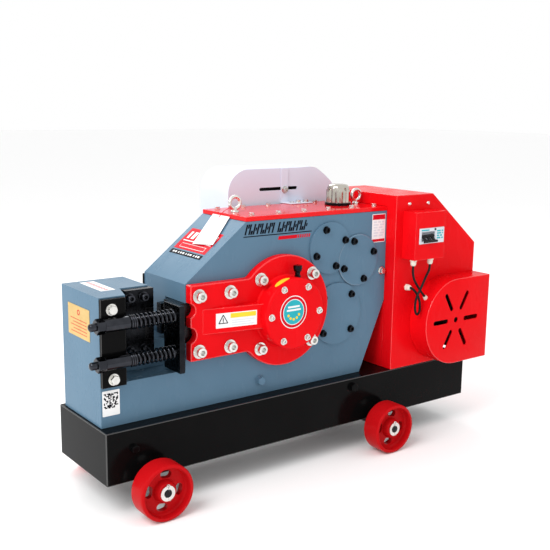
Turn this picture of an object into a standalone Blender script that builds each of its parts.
"""Electric rebar cutter: a wheeled base, a geared crank drive and a sliding shear blade.

Lengths are in metres.  The design frame has x running along the machine from its blade
end, y running back from the front face of the base and z up from the underside of the
base.  Every object hangs from one empty that puts the origin on the floor, under the
centre of the machine.
"""

import math

import bmesh
import bpy
from mathutils import Vector

# Clearances
GAP = 0.0003            # between pieces that touch
ROUND_SIDES = 24        # flats on a round piece
SHEET = 0.003           # thickness of the sheet-metal guards

# Base and running gear
BASE_LENGTH = 1.300
BASE_DEPTH = 0.277
BASE_HEIGHT = 0.139
BASE_WALL = 0.010
WHEEL_RADIUS = 0.075
WHEEL_WIDTH = 0.060
WHEEL_STANDOFF = 0.030  # from the side of the base to the inner face of a wheel
WHEEL_SIDES = 24
WINDOW_TURN = -8        # degrees, from the x axis to the first window of a wheel
AXLE_RADIUS = 0.014
AXLE_X = {"left": 0.123, "right": 0.905}
AXLE_Z = -0.0145

# Gearbox body
BODY_FRONT = 0.0416
BODY_BACK = 0.260
BODY_LEFT = 0.0085
BODY_RIGHT = 0.972
BODY_TOP = 0.630
BLOCK_TOP = 0.473       # top of the block that carries the fixed blade
BLOCK_RIGHT = 0.186
THROAT_RIGHT = 0.253
THROAT_FLOOR = 0.322
POCKET_FLOOR = 0.2495
POCKET_BACK = 0.120
COVER_FRONT = 0.0165    # front face of the red cover
TOP_COVER_TOP = 0.643

# Drive line: shaft centres as (x, z), teeth and face widths as (front, back)
CRANK = (0.560, 0.3765)
LOWER = (0.770, 0.3366)
MIDDLE = (0.849, 0.490)
INPUT = (0.7395, 0.535)
MOTOR = (1.173, 0.281)
FINAL_TEETH = (12, 40)
SECOND_TEETH = (17, 52)
FIRST_TEETH = (15, 44)
BULL_FACE = (0.157, 0.222)
LOWER_FACE = (0.118, 0.150)
MIDDLE_FACE = (0.185, 0.215)
LOWER_RADIUS = 0.025
MIDDLE_RADIUS = 0.022
INPUT_RADIUS = 0.020
FLYWHEEL_RADIUS = 0.180
PULLEY_RADIUS = 0.055
BELT_FACE = (0.316, 0.396)

# Crank, connecting rod and slide
CRANK_THROW = 0.01875
CRANK_PIN_RADIUS = 0.030
JOURNAL_RADIUS = 0.034
GEAR_SEAT_RADIUS = 0.044
BUSH_RADIUS = 0.0447    # outside of both crank bushes
WRIST_X = 0.405
WRIST_RADIUS = 0.012
SLIDE_FLOOR = 0.323
SLIDE_TOP = 0.430
SLIDE_BACK = 0.145
SLIDE_NOSE = 0.234
SLIDE_END = 0.430
BLADE_LOW = 0.335
BLADE_HIGH = 0.418
FIXED_EDGE = 0.190
MOVING_EDGE = 0.226

# Return springs and their rods
SPRING_AXIS_Y = 0.018
SPRING_AXES_Z = {"upper": 0.4085, "lower": 0.3125}
ROD_RADIUS = 0.010
SLEEVE_RADIUS = 0.017
SLEEVE_SPAN = (0.0090, 0.0757)
PLATE_LEFT = 0.2105
SPRING_TURNS = 12
SPRING_RADIUS = 0.0166
SPRING_WIRE = 0.0024

# Guards and electrics
GUARD_FRONT = 0.275
GUARD_BACK = 0.430
BELT_GUARD_X = (0.963, 1.3225)
BELT_GUARD_BACK = 0.310
HOOD_FRONT = -0.072
HOOD_RADIUS = 0.1358
HOOD_Z = 0.2803
BOX_X = (0.992, 1.118)
BOX_Z = (0.4865, 0.631)
BOX_FRONT = -0.0555
LEVER_PIVOT = (-0.050, 0.557)   # (y, z) of the breaker lever's pivot
BUTTON_PLACE = (1.0736, 0.5773)

# The whole machine, for the placing of the origin
ROD_TIP = -0.031
WHEEL_FRONT = -(WHEEL_STANDOFF + WHEEL_WIDTH)
ORIGIN_X = (ROD_TIP + BELT_GUARD_X[1]) / 2
ORIGIN_Y = (WHEEL_FRONT + GUARD_BACK) / 2
RIDE_HEIGHT = WHEEL_RADIUS - AXLE_Z

FINISHES = {
    "body_paint": ((0.24, 0.38, 0.50), 0.0, 0.35),
    "red_paint": ((0.80, 0.02, 0.02), 0.0, 0.28),
    "black_paint": ((0.02, 0.02, 0.022), 0.0, 0.35),
    "white_paint": ((0.78, 0.77, 0.84), 0.0, 0.40),
    "black_oxide": ((0.03, 0.03, 0.032), 0.7, 0.40),
    "zinc": ((0.72, 0.72, 0.70), 1.0, 0.30),
    "steel": ((0.45, 0.45, 0.46), 1.0, 0.35),
    "chrome": ((0.85, 0.85, 0.86), 1.0, 0.12),
    "cast_iron": ((0.05, 0.05, 0.055), 0.4, 0.60),
    "bronze": ((0.60, 0.40, 0.18), 1.0, 0.35),
    "rubber": ((0.02, 0.02, 0.02), 0.0, 0.70),
    "grey_plastic": ((0.62, 0.64, 0.66), 0.0, 0.45),
    "black_plastic": ((0.03, 0.03, 0.03), 0.0, 0.45),
}


# ---------------------------------------------------------------- scene and materials

def clear_scene():
    """Start from an empty file."""
    for item in list(bpy.data.objects):
        bpy.data.objects.remove(item, do_unlink=True)


def new_collection(name):
    collection = bpy.data.collections.new(name)
    bpy.context.scene.collection.children.link(collection)
    return collection


def new_material(name, colour, metallic, roughness):
    material = bpy.data.materials.new(name)
    material.use_nodes = True
    shader = material.node_tree.nodes["Principled BSDF"]
    shader.inputs["Base Color"].default_value = (*colour, 1.0)
    shader.inputs["Metallic"].default_value = metallic
    shader.inputs["Roughness"].default_value = roughness
    return material


clear_scene()
MACHINE = new_collection("rebar_cutter")
CUTTERS = new_collection("cutters")
MATERIALS = {name: new_material(name, *look) for name, look in FINISHES.items()}


def new_empty(name, location):
    empty = bpy.data.objects.new(name, None)
    empty.empty_display_size = 0.05
    empty.location = location
    MACHINE.objects.link(empty)
    return empty


ROOT = new_empty("machine", (-ORIGIN_X, -ORIGIN_Y, RIDE_HEIGHT))


def axis_empty(name, x, y, z):
    """An empty on a joint's axis, for the pieces that turn or slide together."""
    empty = new_empty(name, (x, y, z))
    empty.parent = ROOT
    return empty


# ---------------------------------------------------------------------- basic shapes

def new_object(name, data, finish, location, rotation=(0, 0, 0)):
    part = bpy.data.objects.new(name, data)
    part.location = location
    part.rotation_euler = rotation
    part.parent = ROOT
    data.materials.append(MATERIALS[finish])
    MACHINE.objects.link(part)
    return part


def carry(empty, *parts):
    """Hang parts from an empty without moving them."""
    for part in parts:
        part.parent = empty
        part.location = Vector(part.location) - Vector(empty.location)


def clear(radius):
    """The radius of a bore whose flats all stay clear of a round piece in it."""
    return (radius + GAP) / math.cos(math.pi / ROUND_SIDES)


def mesh_from(builder, name):
    mesh = bpy.data.meshes.new(name)
    builder.to_mesh(mesh)
    builder.free()
    return mesh


def smooth_rounds(mesh, angle=35):
    mesh.shade_smooth()
    mesh.set_sharp_from_angle(angle=math.radians(angle))


def box(name, low, high, finish="body_paint"):
    """A block between two corners."""
    low, high = Vector(low), Vector(high)
    builder = bmesh.new()
    bmesh.ops.create_cube(builder, size=1.0)
    bmesh.ops.scale(builder, vec=high - low, verts=builder.verts)
    return new_object(name, mesh_from(builder, name), finish, (low + high) / 2)


def bar(name, start, end, radius, finish="steel", sides=ROUND_SIDES):
    """A round bar between two points."""
    start, end = Vector(start), Vector(end)
    builder = bmesh.new()
    bmesh.ops.create_cone(builder, cap_ends=True, segments=sides, radius1=radius, radius2=radius,
                          depth=(end - start).length)
    mesh = mesh_from(builder, name)
    smooth_rounds(mesh)
    rotation = (end - start).to_track_quat("Z", "Y").to_euler()
    return new_object(name, mesh, finish, (start + end) / 2, rotation)


def disc(name, centre, face, radius, finish="steel", sides=ROUND_SIDES):
    """A round bar along y; centre is (x, z) and face is (front, back)."""
    start = (centre[0], face[0], centre[1])
    end = (centre[0], face[1], centre[1])
    return bar(name, start, end, radius, finish, sides)


def turned(name, profile, base, direction, finish, sides=ROUND_SIDES, closed=False):
    """A turned piece: profile is (radius, height) from its top down its outer side."""
    mesh = bpy.data.meshes.new(name)
    edges = [(i, i + 1) for i in range(len(profile) - 1)]
    if closed:
        edges.append((len(profile) - 1, 0))
    mesh.from_pydata([(radius, 0, height) for radius, height in profile], edges, [])
    rotation = Vector(direction).to_track_quat("Z", "Y").to_euler()
    part = new_object(name, mesh, finish, base, rotation)
    screw = part.modifiers.new("turn", "SCREW")
    screw.axis = "Z"
    screw.angle = math.tau
    screw.steps = sides
    screw.render_steps = sides
    screw.use_merge_vertices = True
    screw.merge_threshold = 0.00001
    screw.use_smooth_shade = False
    return part


def ring(name, centre, face, inner, outer, finish, sides=ROUND_SIDES):
    """A plain bush along y."""
    profile = [(outer, face[1] - face[0]), (outer, 0), (inner, 0), (inner, face[1] - face[0])]
    base = (centre[0], face[0], centre[1])
    return turned(name, profile, base, (0, 1, 0), finish, sides, closed=True)


def plate(name, outline, face, finish="body_paint", centre=(0, 0), holes=()):
    """A flat outline of (x, z) points about a centre, made thick along y."""
    curve = bpy.data.curves.new(name, "CURVE")
    curve.dimensions = "2D"
    curve.fill_mode = "BOTH"
    curve.extrude = (face[1] - face[0]) / 2
    for loop in (outline, *holes):
        spline = curve.splines.new("POLY")
        spline.points.add(len(loop) - 1)
        for point, (x, z) in zip(spline.points, loop):
            point.co = (x, z, 0, 1)
        spline.use_cyclic_u = True
    drawing = bpy.data.objects.new(name + "_outline", curve)
    MACHINE.objects.link(drawing)
    graph = bpy.context.evaluated_depsgraph_get()
    mesh = bpy.data.meshes.new_from_object(drawing.evaluated_get(graph))
    bpy.data.objects.remove(drawing, do_unlink=True)
    mesh.name = name
    builder = bmesh.new()
    builder.from_mesh(mesh)
    bmesh.ops.remove_doubles(builder, verts=builder.verts, dist=0.00001)
    bmesh.ops.recalc_face_normals(builder, faces=builder.faces)
    builder.to_mesh(mesh)
    builder.free()
    mesh.materials.clear()
    smooth_rounds(mesh)
    location = (centre[0], (face[0] + face[1]) / 2, centre[1])
    return new_object(name, mesh, finish, location, (math.pi / 2, 0, 0))


def plan_plate(name, outline, low, high, finish="body_paint"):
    """A flat outline of (x, y) points, made thick along z from low to high."""
    part = plate(name, outline, (0, high - low), finish)
    part.rotation_euler = (0, 0, 0)
    part.location = (0, 0, (low + high) / 2)
    return part


def tube(name, points, radius, finish, resolution=2):
    """A wire or lead along a list of points, with closed ends."""
    curve = bpy.data.curves.new(name, "CURVE")
    curve.dimensions = "3D"
    curve.bevel_depth = radius
    curve.bevel_resolution = resolution
    curve.use_fill_caps = True
    spline = curve.splines.new("POLY")
    spline.points.add(len(points) - 1)
    for point, place in zip(spline.points, points):
        point.co = (*place, 1)
    return new_object(name, curve, finish, (0, 0, 0))


def torus(name, centre, major, minor, finish, sides=20):
    """A ring of round wire whose axis runs along y."""
    profile = [(major + minor * math.cos(math.tau * i / 6), minor * math.sin(math.tau * i / 6))
               for i in range(6)]
    profile.reverse()
    return turned(name, profile, centre, (0, 1, 0), finish, sides, closed=True)


def combine(part, operation, tools):
    """Cut other shapes out of a part, or weld them onto it."""
    for tool in tools:
        MACHINE.objects.unlink(tool)
        CUTTERS.objects.link(tool)
        tool.hide_render = True
        tool.display_type = "WIRE"
        boolean = part.modifiers.new(tool.name, "BOOLEAN")
        boolean.operation = operation
        boolean.solver = "EXACT"
        boolean.object = tool
    return part


def cut(part, *tools):
    return combine(part, "DIFFERENCE", tools)


def weld(part, *tools):
    return combine(part, "UNION", tools)


def arc(centre, radius, start, end, steps):
    """Points on a circle from one angle to another, in degrees."""
    angles = [math.radians(start + (end - start) * i / steps) for i in range(steps + 1)]
    return [(centre[0] + radius * math.cos(a), centre[1] + radius * math.sin(a)) for a in angles]


def smooth_route(points, step):
    """Evenly spaced points on a smooth curve (Catmull-Rom) through a cable's points."""
    places = [Vector(p) for p in points]
    places = [2 * places[0] - places[1]] + places + [2 * places[-1] - places[-2]]
    route = []
    for a, b, c, d in zip(places, places[1:], places[2:], places[3:]):
        pieces = max(1, round((c - b).length / step))
        for i in range(pieces):
            t = i / pieces
            route.append(0.5 * (2 * b + (c - a) * t + (2 * a - 5 * b + 4 * c - d) * t ** 2
                                + (3 * b - a - 3 * c + d) * t ** 3))
    route.append(places[-2])
    return route


# ------------------------------------------------------------------------------ gears

def centre_distance(first, second):
    return math.dist(first, second)


def module_of(first, second, teeth):
    return 2 * centre_distance(first, second) / sum(teeth)


def gear_outline(teeth, module, phase):
    """Straight-flanked teeth; phase is the angle of one tooth's centre."""
    slack = 0.15
    addendum, dedendum = 0.85, 1.2
    slope = math.tan(math.radians(20))
    root = module * (teeth / 2 - dedendum)
    tip = module * (teeth / 2 + addendum)
    half_root = module * (math.pi / 4 - slack + dedendum * slope) / root
    half_tip = module * (math.pi / 4 - slack - addendum * slope) / tip
    points = []
    for tooth in range(teeth):
        centre = phase + math.tau * tooth / teeth
        for radius, offset in ((root, -half_root), (tip, -half_tip), (tip, half_tip), (root, half_root)):
            points.append((radius * math.cos(centre + offset), radius * math.sin(centre + offset)))
    return points


def meshing_phase(driver, driven, teeth, driver_phase=0.0):
    """The phase that puts a tooth space of the driven gear on a tooth of the driver."""
    direction = math.atan2(driven[1] - driver[1], driven[0] - driver[0])
    turned_teeth = (direction - driver_phase) * teeth[0] / math.tau
    return direction + math.pi - (0.5 - turned_teeth) * math.tau / teeth[1]


def gear(name, centre, teeth, module, phase, face, bore, finish="steel"):
    hole = arc((0, 0), bore, 360, 360 / ROUND_SIDES, ROUND_SIDES - 1)
    return plate(name, gear_outline(teeth, module, phase), face, finish, centre, [hole])


def pinion(name, centre, teeth, module, phase, face):
    return plate(name, gear_outline(teeth, module, phase), face, "steel", centre)


# ------------------------------------------------------------------ base and wheels

def build_base():
    """A welded frame of inward-facing channels with two cross members, open below."""
    base = box("base_frame", (0, 0, 0), (BASE_LENGTH, BASE_DEPTH, BASE_HEIGHT), "black_paint")
    lip = 0.048
    bays = 3
    pitch = (BASE_LENGTH - BASE_WALL) / bays
    for bay in range(bays):
        left = BASE_WALL + bay * pitch
        right = left + pitch - BASE_WALL
        inner = box(f"bay_{bay}", (left, BASE_WALL, BASE_WALL),
                    (right, BASE_DEPTH - BASE_WALL, BASE_HEIGHT - BASE_WALL))
        mouth = box(f"bay_mouth_{bay}", (left + lip, lip, -0.01),
                    (right - lip, BASE_DEPTH - lip, BASE_WALL + 0.001))
        cut(base, inner, mouth)


def build_axles():
    for side, x in AXLE_X.items():
        bar(f"{side}_axle", (x, WHEEL_FRONT, AXLE_Z), (x, BASE_DEPTH - WHEEL_FRONT, AXLE_Z),
            AXLE_RADIUS, "steel", sides=16)


def build_wheel(name, x, outer_y, outward):
    """A cast wheel with a dished web, four oval windows and a plain bore."""
    web = 0.014
    tyre = 0.016
    hub = 0.026
    rise = 0.006
    rim_radius = WHEEL_RADIUS / math.cos(math.pi / WHEEL_SIDES)
    middle = -WHEEL_WIDTH / 2
    profile = [
        (clear(AXLE_RADIUS), -rise), (hub, -rise), (hub, middle + web / 2),
        (WHEEL_RADIUS - tyre, middle + web / 2), (WHEEL_RADIUS - tyre, 0), (rim_radius, 0),
        (rim_radius, -WHEEL_WIDTH), (WHEEL_RADIUS - tyre, -WHEEL_WIDTH),
        (WHEEL_RADIUS - tyre, middle - web / 2), (hub, middle - web / 2),
        (hub, -WHEEL_WIDTH), (clear(AXLE_RADIUS), -WHEEL_WIDTH),
    ]
    wheel = turned(name, profile, (x, outer_y, AXLE_Z), (0, outward, 0), "red_paint",
                   WHEEL_SIDES, closed=True)
    wheel.rotation_euler.rotate_axis("Z", math.pi / WHEEL_SIDES)
    for window in range(4):
        angle = math.radians(WINDOW_TURN + 90 * window)
        radius = 0.042
        place = (x + radius * math.cos(angle), AXLE_Z + radius * math.sin(angle))
        span = sorted((outer_y, outer_y - outward * WHEEL_WIDTH))
        cut(wheel, disc(f"{name}_window_{window}", place, span, 0.0115, sides=8))
    carry(axis_empty(f"{name}_axis", x, outer_y, AXLE_Z), wheel)


def build_wheels():
    for side, x in AXLE_X.items():
        build_wheel(f"front_{side}_wheel", x, WHEEL_FRONT, -1)
        build_wheel(f"back_{side}_wheel", x, BASE_DEPTH - WHEEL_FRONT, 1)


# --------------------------------------------------------------------- gearbox body

def body_outline():
    return [(BODY_LEFT, BASE_HEIGHT + GAP), (0.8706, BASE_HEIGHT + GAP), (0.971, 0.371),
            (BODY_RIGHT, BODY_TOP), (0.4435, BODY_TOP), (THROAT_RIGHT, 0.480),
            (THROAT_RIGHT, THROAT_FLOOR), (BLOCK_RIGHT, THROAT_FLOOR),
            (BLOCK_RIGHT, BLOCK_TOP), (BODY_LEFT, BLOCK_TOP)]


def build_body():
    """One casting: blade block and throat on the left, gear chamber on the right."""
    body = plate("gearbox_body", body_outline(), (BODY_FRONT, BODY_BACK))
    front_wall, back_wall = 0.0616, 0.240

    pocket = plan_plate("front_pocket", [(0.080, 0.030), (0.080, BODY_FRONT), (0.105, POCKET_BACK),
                                         (THROAT_RIGHT, POCKET_BACK), (THROAT_RIGHT, 0.030)],
                        POCKET_FLOOR, BLOCK_TOP + 0.05)
    guide = box("slide_way", (THROAT_RIGHT - 0.01, BODY_FRONT - 0.01, SLIDE_FLOOR - 0.0005),
                (0.470, SLIDE_BACK + 0.0005, SLIDE_TOP + 0.0005))
    crank_room = disc("crank_room", CRANK, (BODY_FRONT - 0.01, 0.152), 0.140, sides=36)
    gear_room = plate("gear_room", [(0.650, 0.155), (0.868, 0.155), (0.957, 0.375), (0.957, 0.612),
                                    (0.650, 0.612)], (front_wall, back_wall))
    bull_room = plate("bull_room", [(0.376, 0.190), (0.400, 0.155), (0.700, 0.155), (0.700, 0.612),
                                    (0.455, 0.612), (0.376, 0.552)], (0.1515, back_wall))
    top_mouth = box("top_mouth", (0.480, 0.0816, 0.600), (0.935, 0.220, BODY_TOP + 0.01))
    cut(body, pocket, guide, crank_room, gear_room, bull_room, top_mouth)

    for name, centre, radius in (("lower", LOWER, LOWER_RADIUS), ("middle", MIDDLE, MIDDLE_RADIUS)):
        cut(body, disc(f"{name}_bore", centre, (BODY_FRONT - 0.01, 0.2565), clear(radius)))
    cut(body, disc("input_bore", INPUT, (BODY_FRONT - 0.01, BODY_BACK + 0.01),
                   clear(INPUT_RADIUS)))
    cut(body, disc("crank_bore", CRANK, (0.230, 0.256), clear(BUSH_RADIUS)))


def cover_outline():
    """The front cover: a plate with two thumb notches that runs into a round disc."""
    left, low, high = 0.2537, 0.277, 0.480
    radius = 0.157
    fillet = 0.020
    outline = []
    for centre_z, notch in ((0.4135, 0.0185), (0.347, 0.0215)):
        half = math.degrees(math.acos((left - 0.250) / notch))
        outline += arc((0.250, centre_z), notch, half, -half, 8)
    outline.append((left, low))
    for edge, side in ((low, -1), (high, 1)):
        rise = side * (edge - CRANK[1]) + fillet
        run = math.sqrt((radius + fillet) ** 2 - rise ** 2)
        turn = math.degrees(math.atan2(rise, run))
        centre = (CRANK[0] - run, edge + side * fillet)
        bend = arc(centre, fillet, -side * 90, -side * turn, 5)
        outline += bend if side < 0 else bend[::-1]
        if side < 0:
            outline += arc(CRANK, radius, 180 + turn, 540 - turn, 36)[1:-1]
    outline.append((left, high))
    return outline


def build_front_cover():
    """Cover with a wedge-shaped bulge over the slide; the crank's bush sits in its bore."""
    face = (COVER_FRONT, BODY_FRONT - GAP)
    cover = plate("front_cover", cover_outline(), face, "red_paint")
    wedge_front = -0.0135
    bulge = plan_plate("bulge", [(0.290, COVER_FRONT + 0.002), (0.290, COVER_FRONT - 0.0002),
                                 (0.470, wedge_front), (0.500, wedge_front),
                                 (0.500, COVER_FRONT + 0.002)], 0.345, 0.413, "red_paint")
    cut(bulge, disc("bulge_relief", CRANK, (-0.05, COVER_FRONT), 0.1008, sides=36))
    weld(cover, bulge)
    cut(cover, disc("front_bore", CRANK, (-0.03, 0.06), clear(BUSH_RADIUS)))

    cap = disc("crank_cap", CRANK, (-0.035, COVER_FRONT - GAP), 0.100, "red_paint", sides=36)
    cut(cap, disc("cap_hollow", CRANK, (-0.024, COVER_FRONT + 0.01), 0.056))
    weld(cap, box("cup_seat", (0.576, -0.016, 0.455), (0.592, 0.000, 0.4762)))

    cup_base = (0.584, -0.008, 0.4765)
    turned("oil_cup", [(0, 0.030), (0.009, 0.029), (0.0125, 0.025), (0.0125, 0.014), (0.0065, 0.010),
                       (0.0065, 0), (0, 0)], cup_base, (0, 0, 1), "black_oxide", 16)
    ring("front_crank_bush", CRANK, (-0.010, 0.0410), clear(JOURNAL_RADIUS), BUSH_RADIUS, "bronze")
    ring("rear_crank_bush", CRANK, (0.2403, 0.2557), clear(JOURNAL_RADIUS), BUSH_RADIUS, "bronze")


def build_bearing_covers():
    face = (0.0356, BODY_FRONT - GAP)
    upper = disc("input_bearing_cover", INPUT, face, 0.0755, "body_paint", sides=32)
    cut(upper, disc("middle_cover_edge", MIDDLE, (0.03, 0.05), 0.0777, sides=32))
    disc("middle_bearing_cover", MIDDLE, face, 0.0774, "body_paint", sides=32)
    lower = disc("lower_bearing_cover", LOWER, face, 0.0924, "body_paint", sides=32)
    cut(lower, disc("front_cover_edge", CRANK, (0.03, 0.05), 0.1578, sides=48))


def build_top():
    """Top cover with two lifting eyes and the breather on its flange."""
    box("top_cover", (0.4437, BODY_FRONT, BODY_TOP + GAP), (BODY_RIGHT, BODY_BACK, TOP_COVER_TOP),
        "red_paint")
    seat = TOP_COVER_TOP + GAP
    for side, x, y in (("left", 0.482, 0.152), ("right", 0.934, 0.150)):
        eye = torus(f"{side}_eye_bolt", (x, y, seat + 0.026), 0.0178, 0.0045, "zinc")
        shank = bar(f"{side}_eye_shank", (x, y, seat), (x, y, seat + 0.010), 0.009, sides=16)
        weld(eye, shank)
    turned("breather", [(0, 0.0640), (0.026, 0.0625), (0.0325, 0.058), (0.0345, 0.052),
                        (0.0345, 0.008), (0.040, 0.007), (0.040, 0), (0, 0)],
           (0.862, 0.152, seat), (0, 0, 1), "chrome", 24)


# ------------------------------------------------------------- blades, slide, springs

def build_blades():
    """The fixed blade in its holder, and the moving one in the nose of the slide."""
    back = POCKET_BACK - GAP
    holder = box("fixed_blade_holder", (0.1085, 0.095, 0.290), (FIXED_EDGE, back, 0.470), "black_oxide")
    cut(holder, box("fixed_blade_seat", (0.1645, 0.09, BLADE_LOW), (0.20, 0.13, BLADE_HIGH)))
    box("fixed_blade", (0.1648, 0.0955, BLADE_LOW + GAP), (FIXED_EDGE, back, BLADE_HIGH - GAP), "steel")

    slot = (0.0655, 0.1125)
    slide = box("slide", (SLIDE_NOSE, BODY_FRONT + GAP, SLIDE_FLOOR), (SLIDE_END, SLIDE_BACK, SLIDE_TOP),
                "steel")
    arm = box("push_arm", (0.2268, 0.0455, 0.338), (SLIDE_NOSE + 0.01, 0.0795, 0.415))
    blade_seat = box("moving_blade_seat", (0.22, 0.121, SLIDE_FLOOR - 0.01),
                     (0.2625, SLIDE_BACK + 0.01, SLIDE_TOP + 0.01))
    fork = box("rod_slot", (0.366, slot[0], SLIDE_FLOOR - 0.01), (0.44, slot[1], SLIDE_TOP + 0.01))
    wrist = disc("wrist_bore", (WRIST_X, CRANK[1]), (0.03, 0.16), clear(WRIST_RADIUS))
    weld(slide, arm)
    cut(slide, blade_seat, fork, wrist)
    blade = box("moving_blade", (MOVING_EDGE, 0.1213, BLADE_LOW), (0.2622, 0.1447, BLADE_HIGH), "steel")
    pin = disc("wrist_pin", (WRIST_X, CRANK[1]), (0.0450, 0.1440), WRIST_RADIUS)
    push = box("push_plate", (PLATE_LEFT, -0.002, 0.257), (0.2265, 0.080, 0.4345), "black_oxide")
    empty = axis_empty("slide_axis", SLIDE_NOSE, SLIDE_BACK / 2, CRANK[1])
    carry(empty, slide, blade, pin, push)
    return empty


def build_spring_rods(slide_axis):
    """Bracket with two sleeves; the rods run through them, pushed back by the springs."""
    bracket = box("rod_bracket", (0.009, 0.0316, 0.2453), (0.0755, BODY_FRONT - GAP, 0.470), "black_oxide")
    for level, z in SPRING_AXES_Z.items():
        weld(bracket, bar(f"{level}_sleeve", (SLEEVE_SPAN[0], SPRING_AXIS_Y, z),
                          (SLEEVE_SPAN[1], SPRING_AXIS_Y, z), SLEEVE_RADIUS))
        cut(bracket, bar(f"{level}_sleeve_bore", (-0.01, SPRING_AXIS_Y, z), (0.1, SPRING_AXIS_Y, z),
                         clear(ROD_RADIUS)))
        dome = 0.005
        nut = (-0.013, SLEEVE_SPAN[0] - GAP)
        rod = turned(f"{level}_spring_rod",
                     [(0, PLATE_LEFT - GAP - ROD_TIP), (ROD_RADIUS, PLATE_LEFT - GAP - ROD_TIP),
                      (ROD_RADIUS, dome), (0.0065, 0.0012), (0, 0)],
                     (ROD_TIP, SPRING_AXIS_Y, z), (1, 0, 0), "black_oxide", 16)
        weld(rod, bar(f"{level}_nut", (nut[0], SPRING_AXIS_Y, z), (nut[1], SPRING_AXIS_Y, z), 0.0207,
                      sides=6))
        carry(slide_axis, rod)
        tube(f"{level}_return_spring", spring_points(z), SPRING_WIRE, "black_oxide", 0)


def spring_points(z):
    """A coil along x between the sleeve and the push plate."""
    start = SLEEVE_SPAN[1] + SPRING_WIRE + GAP
    end = PLATE_LEFT - SPRING_WIRE - GAP
    steps = SPRING_TURNS * 8
    points = []
    for i in range(steps + 1):
        share = i / steps
        angle = math.tau * SPRING_TURNS * share
        points.append((start + (end - start) * share, SPRING_AXIS_Y + SPRING_RADIUS * math.cos(angle),
                       z + SPRING_RADIUS * math.sin(angle)))
    return points


# --------------------------------------------------------------------- crank and rod

def build_crank():
    """One-piece crankshaft with its pin at the back of its throw, and the bull gear."""
    pin_centre = (CRANK[0] + CRANK_THROW, CRANK[1])
    shaft = disc("crankshaft", CRANK, (-0.015, 0.0500), JOURNAL_RADIUS)
    weld(shaft,
         disc("front_web", CRANK, (0.0445, 0.0645), 0.052),
         disc("crank_pin", pin_centre, (0.060, 0.1200), CRANK_PIN_RADIUS),
         disc("rear_web", CRANK, (0.1140, 0.1500), 0.052),
         disc("gear_seat", CRANK, (0.1450, 0.2260), GEAR_SEAT_RADIUS),
         disc("rear_journal", CRANK, (0.2200, 0.2555), JOURNAL_RADIUS))
    module = module_of(LOWER, CRANK, FINAL_TEETH)
    bull = gear("bull_gear", CRANK, FINAL_TEETH[1], module, meshing_phase(LOWER, CRANK, FINAL_TEETH),
                BULL_FACE, clear(GEAR_SEAT_RADIUS))
    carry(axis_empty("crank_axis", CRANK[0], 0.15, CRANK[1]), shaft, bull)


def build_connecting_rod():
    """A flat rod on the wrist pin; its big end has room for the pin's whole throw."""
    face = (0.0660, 0.1120)
    big_centre = (CRANK[0] + CRANK_THROW, CRANK[1])
    small_radius, big_radius, big_bore = 0.030, 0.092, 0.0760
    rod = disc("connecting_rod", big_centre, face, big_radius, "steel", sides=36)
    weld(rod,
         disc("small_end", (WRIST_X, CRANK[1]), face, small_radius),
         box("shank", (WRIST_X, face[0], CRANK[1] - 0.022), (0.520, face[1], CRANK[1] + 0.022)))
    cut(rod,
        disc("big_end_bore", big_centre, (0.05, 0.13), big_bore, sides=36),
        disc("small_end_bore", (WRIST_X, CRANK[1]), (0.05, 0.13), clear(WRIST_RADIUS)))
    carry(axis_empty("wrist_axis", WRIST_X, 0.089, CRANK[1]), rod)


# ------------------------------------------------------------------------ gear train

def build_shaft(name, centre, radius, span, teeth, module, face, sides=32):
    """A shaft with its pinion cut on it."""
    shaft = disc(f"{name}_shaft", centre, span, radius, sides=sides)
    weld(shaft, pinion(f"{name}_pinion", centre, teeth, module, 0.0, face))
    return shaft


def build_gear_train():
    """Three reductions from the flywheel to the crank."""
    first = module_of(INPUT, MIDDLE, FIRST_TEETH)
    second = module_of(MIDDLE, LOWER, SECOND_TEETH)
    final = module_of(LOWER, CRANK, FINAL_TEETH)
    inner_span = (0.0440, 0.2560)

    lower = build_shaft("lower", LOWER, LOWER_RADIUS, inner_span, FINAL_TEETH[0], final, (0.1552, 0.2238))
    lower_gear = gear("lower_gear", LOWER, SECOND_TEETH[1], second,
                      meshing_phase(MIDDLE, LOWER, SECOND_TEETH), LOWER_FACE, clear(LOWER_RADIUS))
    carry(axis_empty("lower_axis", LOWER[0], 0.15, LOWER[1]), lower, lower_gear)

    middle = build_shaft("middle", MIDDLE, MIDDLE_RADIUS, inner_span, SECOND_TEETH[0], second,
                         (0.1160, 0.1520))
    middle_gear = gear("middle_gear", MIDDLE, FIRST_TEETH[1], first,
                       meshing_phase(INPUT, MIDDLE, FIRST_TEETH), MIDDLE_FACE, clear(MIDDLE_RADIUS))
    carry(axis_empty("middle_axis", MIDDLE[0], 0.15, MIDDLE[1]), middle, middle_gear)

    shaft = build_shaft("input", INPUT, INPUT_RADIUS, (0.0440, 0.4100), FIRST_TEETH[0], first,
                        (0.1830, 0.2170))
    carry(axis_empty("input_axis", INPUT[0], 0.15, INPUT[1]), shaft, build_flywheel())


def build_flywheel():
    """A heavy rim on a thin web; the belt runs on the rim."""
    front, back = 0.297, 0.403
    depth = back - front
    rim, web, hub = 0.030, 0.018, 0.045
    bore = clear(INPUT_RADIUS)
    middle = depth / 2
    profile = [
        (FLYWHEEL_RADIUS, depth), (FLYWHEEL_RADIUS, 0), (FLYWHEEL_RADIUS - rim, 0),
        (FLYWHEEL_RADIUS - rim, middle - web / 2), (hub, middle - web / 2), (hub, 0), (bore, 0),
        (bore, depth), (hub, depth), (hub, middle + web / 2),
        (FLYWHEEL_RADIUS - rim, middle + web / 2), (FLYWHEEL_RADIUS - rim, depth),
    ]
    return turned("flywheel", profile, (INPUT[0], front, INPUT[1]), (0, 1, 0), "cast_iron", 36,
                  closed=True)


# --------------------------------------------------------------------- motor and belt

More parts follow.
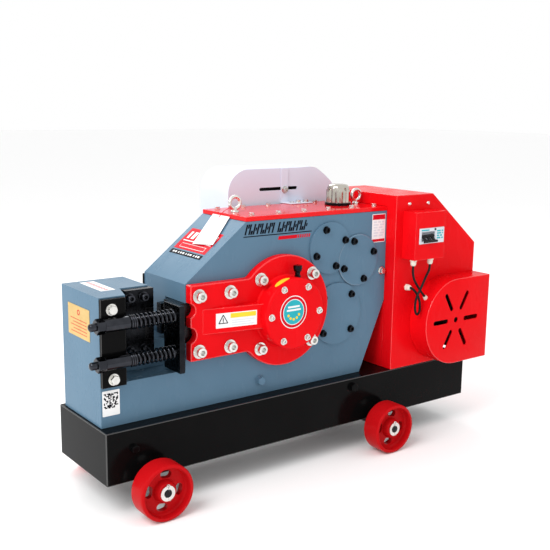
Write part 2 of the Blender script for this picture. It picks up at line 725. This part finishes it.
def build_motor():
    """Foot-mounted motor inside the belt guard; its fan sits under the hood."""
    shell = disc("motor_body", MOTOR, (0.020, 0.280), 0.105, "cast_iron")
    foot = box("motor_foot", (MOTOR[0] - 0.085, 0.060, BASE_HEIGHT + GAP),
               (MOTOR[0] + 0.085, 0.240, MOTOR[1] - 0.05))
    weld(shell, foot)
    shaft_radius = 0.014
    cut(shell,
        disc("stator_bore", MOTOR, (0.070, 0.230), 0.062),
        disc("motor_bore", MOTOR, (-0.01, 0.30), clear(shaft_radius)))
    rotor = disc("motor_rotor", MOTOR, (-0.050, 0.405), shaft_radius, "steel")
    weld(rotor, disc("rotor_core", MOTOR, (0.075, 0.225), 0.0605))
    pulley = ring("motor_pulley", MOTOR, (0.313, 0.399), clear(shaft_radius), PULLEY_RADIUS, "cast_iron")
    fan = build_fan(clear(shaft_radius))
    carry(axis_empty("motor_axis", MOTOR[0], 0.15, MOTOR[1]), rotor, pulley, fan)


def build_fan(bore):
    """A radial fan: hub, back disc and eight blades."""
    face = (-0.046, -0.012)
    fan = disc("motor_fan", MOTOR, face, 0.028, "black_plastic", sides=24)
    weld(fan, disc("fan_disc", MOTOR, (-0.016, face[1]), 0.090))
    blades = 8
    middle = 0.053
    for blade in range(blades):
        angle = math.tau * blade / blades
        vane = box(f"vane_{blade}", (0, face[0], 0), (0.064, -0.014, 0.003))
        vane.location.x = MOTOR[0] + middle * math.cos(angle)
        vane.location.z = MOTOR[1] + middle * math.sin(angle)
        vane.rotation_euler.y = -angle
        weld(fan, vane)
    cut(fan, disc("fan_bore", MOTOR, (-0.06, 0.01), bore))
    return fan


def belt_loop(offset):
    """The line round flywheel and pulley at a distance outside their rims."""
    large, small = FLYWHEEL_RADIUS + offset, PULLEY_RADIUS + offset
    run = math.dist(INPUT, MOTOR)
    direction = math.degrees(math.atan2(MOTOR[1] - INPUT[1], MOTOR[0] - INPUT[0]))
    lean = math.degrees(math.acos((large - small) / run))
    return (arc(INPUT, large, direction + lean, direction + 360 - lean, 24)
            + arc(MOTOR, small, direction - lean, direction + lean, 10))


def build_belt():
    """The flat outer shape of the V-belts; it stands still while the pulleys turn."""
    plate("drive_belt", belt_loop(0.0085), BELT_FACE, "rubber", holes=[belt_loop(0.0010)])


# ----------------------------------------------------------------------------- guards

def build_flywheel_guard():
    """White sheet guard over the flywheel, open on the right where the belt leaves."""
    left, right, low, high = 0.542, 0.955, 0.250, 0.750
    corner = 0.070
    outline = ([(left, low), (right, low), (right, 0.668), (0.940, 0.700), (0.895, 0.736), (0.872, high)]
               + arc((left + corner, high - corner), corner, 90, 180, 8))
    guard = plate("flywheel_guard", outline, (GUARD_FRONT, GUARD_BACK), "white_paint")
    t = SHEET
    inner = ([(left + t, low + t), (right - t, low + t), (right - t, 0.667), (0.9375, 0.698),
              (0.8935, 0.7335), (0.8715, high - t)]
             + arc((left + corner, high - corner), corner - t, 90, 180, 8))
    cut(guard,
        plate("guard_room", inner, (GUARD_FRONT + t, GUARD_BACK - t)),
        box("belt_window", (right - 0.02, BELT_FACE[0] - 0.008, 0.270), (right + 0.02, BELT_FACE[1] + 0.008, 0.650)),
        disc("shaft_window", INPUT, (GUARD_FRONT - 0.01, GUARD_FRONT + 0.01), 0.030),
        box("guard_slot", (0.655, GUARD_FRONT - 0.01, 0.683), (0.800, GUARD_FRONT + 0.01, 0.693)))

    bracket = box("guard_bracket", (0.735, GUARD_FRONT - t - GAP, 0.6436), (0.762, GUARD_FRONT - GAP, 0.7495),
                  "white_paint")
    weld(bracket, box("bracket_foot", (0.735, 0.222, 0.6436), (0.822, GUARD_FRONT - GAP, 0.6466)))


def guard_profile(inset):
    """The red casing's side view: a box with its upper right corner cut off."""
    left, right = BELT_GUARD_X
    top, knee_x, knee_z = 0.679, 1.1185, 0.511
    lean = math.atan2(top - knee_z, right - knee_x)
    shift = inset * math.tan(lean / 2)
    return [(left + inset, BASE_HEIGHT + GAP), (right - inset, BASE_HEIGHT + GAP),
            (right - inset, knee_z - inset * math.tan((math.pi / 2 - lean) / 2)),
            (knee_x - shift, top - inset), (left + inset, top - inset)]


def open_below(outline, depth=0.02):
    """Carry the two lowest points of an outline down, to cut a mouth there."""
    lowest = min(z for _, z in outline)
    return [(x, z - depth if z == lowest else z) for x, z in outline]


def build_belt_guard():
    """Red sheet casing over the motor, open below, with a hole for the hood's air."""
    guard = plate("belt_guard", guard_profile(0), (0.0, BELT_GUARD_BACK), "red_paint")
    cut(guard,
        plate("casing_room", open_below(guard_profile(SHEET)), (SHEET, BELT_GUARD_BACK - SHEET)),
        box("gearbox_window", (BELT_GUARD_X[0] - 0.01, BODY_FRONT - GAP, BASE_HEIGHT - 0.01),
            (BODY_RIGHT + GAP, BODY_BACK + GAP, TOP_COVER_TOP + GAP)),
        disc("air_hole", MOTOR, (-0.01, 0.01), 0.118),
        disc("drive_hole", MOTOR, (BELT_GUARD_BACK - 0.01, BELT_GUARD_BACK + 0.01), 0.040))

    low, high = BASE_HEIGHT + 0.004, 0.655
    left, right = 0.9585, 1.3125
    outline = [(left, low), (right, low), (right, 0.500), (1.125, high), (left, high)]
    inner = [(left - 0.01, low + SHEET), (right - SHEET, low + SHEET), (right - SHEET, 0.4985),
             (1.1238, high - SHEET), (left - 0.01, high - SHEET)]
    rear = plate("rear_belt_cover", outline, (BELT_GUARD_BACK + GAP, GUARD_BACK), "red_paint")
    cut(rear, plate("rear_room", inner, (BELT_GUARD_BACK - 0.01, GUARD_BACK - SHEET)))


def build_hood():
    """Fan hood: a D-shaped drum with six radial slots and a hole in its middle."""
    left_arc = arc((MOTOR[0], HOOD_Z), HOOD_RADIUS, 90, 270, 20)
    square = [(1.3214, HOOD_Z - HOOD_RADIUS), (1.3214, HOOD_Z + HOOD_RADIUS)]
    hood = plate("motor_hood", left_arc + square, (HOOD_FRONT, -GAP), "red_paint")
    t = SHEET
    inner = (arc((MOTOR[0], HOOD_Z), HOOD_RADIUS - t, 90, 270, 20)
             + [(1.3214 - t, HOOD_Z - HOOD_RADIUS + t), (1.3214 - t, HOOD_Z + HOOD_RADIUS - t)])
    cut(hood, plate("hood_room", inner, (HOOD_FRONT + t, 0.01)))
    inner_end, outer_end, half_width = 0.0365, 0.098, 0.006
    for slot in range(6):
        turn = 60 * slot
        outline = (arc((outer_end - half_width, 0), half_width, -90, 90, 4)
                   + arc((inner_end + half_width, 0), half_width, 90, 270, 4))
        cutter = plate(f"air_slot_{slot}", outline, (HOOD_FRONT - 0.01, HOOD_FRONT + 0.01),
                       centre=(1.171, 0.285))
        cutter.rotation_euler = (math.pi / 2, -math.radians(turn), 0)
        cut(hood, cutter)
    cut(hood, disc("centre_hole", (1.171, 0.285), (HOOD_FRONT - 0.01, HOOD_FRONT + 0.01), 0.009, sides=16))


# ------------------------------------------------------------------ electrics, cables

def build_control_box():
    (left, right), (low, high) = BOX_X, BOX_Z
    t = 0.0025
    window = (1.0075, 1.1135, 0.535, 0.5825)
    shell = box("control_box", (left, BOX_FRONT, low), (right, -GAP, high), "red_paint")
    cut(shell,
        box("box_room", (left + t, BOX_FRONT + t, low + t), (right - t, 0.01, high - t)),
        box("breaker_window", (window[0], BOX_FRONT - 0.01, window[2]), (window[1], BOX_FRONT + 0.01, window[3])))

    face = BOX_FRONT - 0.0015
    breaker = box("circuit_breaker", (window[0] + GAP, face, window[2] + GAP),
                  (window[1] - GAP, -0.012, window[3] - GAP), "grey_plastic")
    button_x, button_z = BUTTON_PLACE
    cut(breaker,
        box("lever_slot", (1.0165, face - 0.01, 0.5425), (1.0750, -0.038, 0.5715)),
        bar("button_bore", (button_x, face - 0.01, button_z), (button_x, -0.045, button_z), 0.0033, sides=16))
    build_lever(face)
    button = bar("test_button", (button_x, face - 0.002, button_z), (button_x, -0.048, button_z), 0.003,
                 "black_plastic", sides=16)
    carry(axis_empty("button_axis", button_x, face, button_z), button)


def build_lever(face):
    """Three necks on one pivot, tied together by a bar; it hangs down when off."""
    y, z = LEVER_PIVOT
    left, right = 1.018, 1.073
    droop = math.radians(38)
    lever = bar("breaker_lever", (left, y, z), (right, y, z), 0.005, "black_plastic", sides=16)
    reach = 0.022
    for neck in range(3):
        middle = left + (right - left) * (2 * neck + 1) / 6
        stem = box(f"neck_{neck}", (middle - 0.004, y - reach, z - 0.002), (middle + 0.004, y, z + 0.002))
        stem.location = (middle, y - reach / 2 * math.cos(droop), z - reach / 2 * math.sin(droop))
        stem.rotation_euler = (droop, 0, 0)
        weld(lever, stem)
    tip_y, tip_z = y - reach * math.cos(droop), z - reach * math.sin(droop)
    weld(lever, bar("tie_bar", (left, tip_y, tip_z), (right, tip_y, tip_z), 0.0038, sides=12))
    carry(axis_empty("lever_axis", (left + right) / 2, y, z), lever)


def build_gland(name, place, direction):
    """A cable gland: hexagon, domed nut and a short nose round the lead."""
    turned(name, [(0.0052, 0.018), (0.0066, 0.018), (0.0088, 0.012), (0.0088, 0.004), (0.0105, 0.004),
                  (0.0105, 0), (0.0052, 0)], place, direction, "grey_plastic", 16, closed=True)


MOTOR_LEAD = [(1.0030, -0.0400, 0.4800), (1.0030, -0.0400, 0.4600), (1.0040, -0.0395, 0.4450),
              (1.0110, -0.0390, 0.4250), (1.0240, -0.0385, 0.4070), (1.0400, -0.0385, 0.3880),
              (1.0520, -0.0390, 0.3745), (1.0605, -0.0395, 0.3655)]
SUPPLY_LEAD = [(1.0715, -0.0430, 0.4800), (1.0715, -0.0430, 0.4620), (1.0650, -0.0460, 0.4480),
               (1.0520, -0.0490, 0.4340), (1.0390, -0.0510, 0.4160), (1.0260, -0.0520, 0.3960),
               (1.0140, -0.0515, 0.3760), (1.0085, -0.0500, 0.3530), (1.0110, -0.0490, 0.3290),
               (1.0215, -0.0475, 0.3170), (1.0330, -0.0450, 0.3250), (1.0370, -0.0420, 0.3450),
               (1.0335, -0.0400, 0.3640), (1.0250, -0.0360, 0.3820), (1.0195, -0.0270, 0.3925),
               (1.0186, -0.0190, 0.3944), (1.0186, -0.0100, 0.3944)]
LEAD_RADIUS = 0.0036


def build_cables():
    below = BOX_Z[0] - GAP
    build_gland("motor_gland", (MOTOR_LEAD[0][0], MOTOR_LEAD[0][1], below), (0, 0, -1))
    build_gland("supply_gland", (SUPPLY_LEAD[0][0], SUPPLY_LEAD[0][1], below), (0, 0, -1))
    build_gland("guard_gland", (SUPPLY_LEAD[-1][0], -GAP, SUPPLY_LEAD[-1][2]), (0, -1, 0))
    tube("motor_lead", smooth_route(MOTOR_LEAD, 0.016), LEAD_RADIUS, "rubber")
    tube("supply_lead", smooth_route(SUPPLY_LEAD, 0.016), LEAD_RADIUS, "rubber")


# -------------------------------------------------------------------------- assembly

build_base()
build_axles()
build_wheels()
build_body()
build_front_cover()
build_bearing_covers()
build_top()
slide_axis = build_blades()
build_spring_rods(slide_axis)
build_crank()
build_connecting_rod()
build_gear_train()
build_motor()
build_belt()
build_flywheel_guard()
build_belt_guard()
build_hood()
build_control_box()
build_cables()
